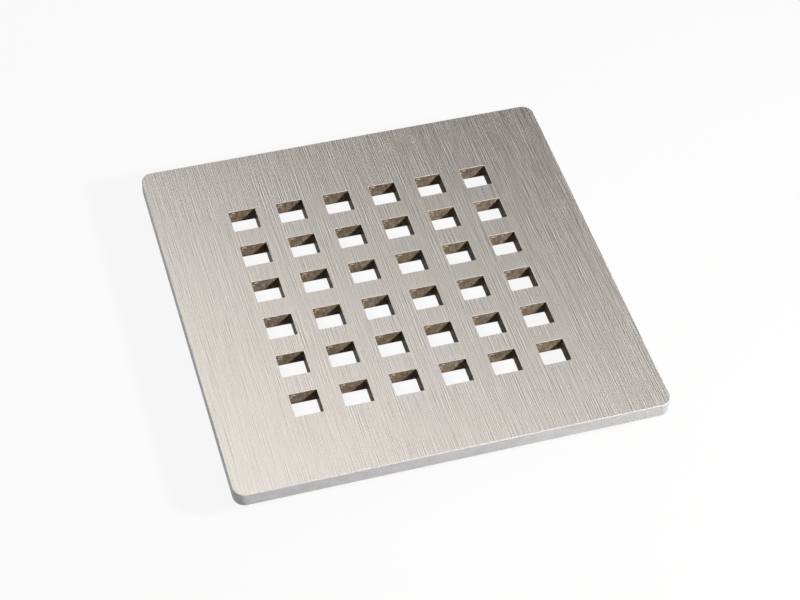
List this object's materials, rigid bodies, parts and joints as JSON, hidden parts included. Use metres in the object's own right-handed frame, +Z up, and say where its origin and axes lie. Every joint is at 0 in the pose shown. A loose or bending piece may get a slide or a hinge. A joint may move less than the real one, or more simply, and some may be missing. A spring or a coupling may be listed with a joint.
{
  "type": "floor drain grate",
  "caption": "Square drop-in floor drain grate: a thick brushed-steel plate with a grid of square holes, on screw-adjusted feet with rubber shoes that level it in its recess.",
  "frame": {"origin": "under the middle of the plate, on the ledge that the shoes stand on", "axes": "+Z up through the plate; +X along the front edge, from left to right; +Y from the front edge to the back edge, along the grain of the brushed finish"},
  "size_m": [0.108, 0.108, 0.012],
  "materials": {
    "brushed_steel": "straight-grained satin, brushed front to back",
    "bright_steel": "bright stainless",
    "nylon": "natural moulded nylon",
    "rubber": "matt moulded rubber"
  },
  "bodies": {
    "grate": {"grate_plate": "brushed_steel", "weld_stud_front_left": "bright_steel", "weld_stud_front_right": "bright_steel", "weld_stud_back_left": "bright_steel", "weld_stud_back_right": "bright_steel"},
    "shoe_front_left": {"foot_shoe_front_left": "rubber"},
    "shoe_front_right": {"foot_shoe_front_right": "rubber"},
    "shoe_back_left": {"foot_shoe_back_left": "rubber"},
    "shoe_back_right": {"foot_shoe_back_right": "rubber"},
    "sleeve_front_left": {"foot_sleeve_front_left": "nylon"},
    "sleeve_front_right": {"foot_sleeve_front_right": "nylon"},
    "sleeve_back_left": {"foot_sleeve_back_left": "nylon"},
    "sleeve_back_right": {"foot_sleeve_back_right": "nylon"}
  },
  "joints": [
    {"name": "front_left_travel", "type": "slide", "parent": "grate", "child": "shoe_front_left", "axis": [0, 0, 1], "range_m": [-0.0008, 0.0008]},
    {"name": "front_right_travel", "type": "slide", "parent": "grate", "child": "shoe_front_right", "axis": [0, 0, 1], "range_m": [-0.0008, 0.0008]},
    {"name": "back_left_travel", "type": "slide", "parent": "grate", "child": "shoe_back_left", "axis": [0, 0, 1], "range_m": [-0.0008, 0.0008]},
    {"name": "back_right_travel", "type": "slide", "parent": "grate", "child": "shoe_back_right", "axis": [0, 0, 1], "range_m": [-0.0008, 0.0008]},
    {"name": "front_left_turn", "type": "hinge", "parent": "shoe_front_left", "child": "sleeve_front_left", "pos_m": [-0.043, -0.043, 0.004], "axis": [0, 0, 1], "range_deg": [-360, 360]},
    {"name": "front_right_turn", "type": "hinge", "parent": "shoe_front_right", "child": "sleeve_front_right", "pos_m": [0.043, -0.043, 0.004], "axis": [0, 0, 1], "range_deg": [-360, 360]},
    {"name": "back_left_turn", "type": "hinge", "parent": "shoe_back_left", "child": "sleeve_back_left", "pos_m": [-0.043, 0.043, 0.004], "axis": [0, 0, 1], "range_deg": [-360, 360]},
    {"name": "back_right_turn", "type": "hinge", "parent": "shoe_back_right", "child": "sleeve_back_right", "pos_m": [0.043, 0.043, 0.004], "axis": [0, 0, 1], "range_deg": [-360, 360]}
  ],
  "couplings": [
    {"joint": "front_left_turn", "follows": "front_left_travel", "rad_per_m": 7853.9},
    {"joint": "front_right_turn", "follows": "front_right_travel", "rad_per_m": 7853.9},
    {"joint": "back_left_turn", "follows": "back_left_travel", "rad_per_m": 7853.9},
    {"joint": "back_right_turn", "follows": "back_right_travel", "rad_per_m": 7853.9}
  ]
}
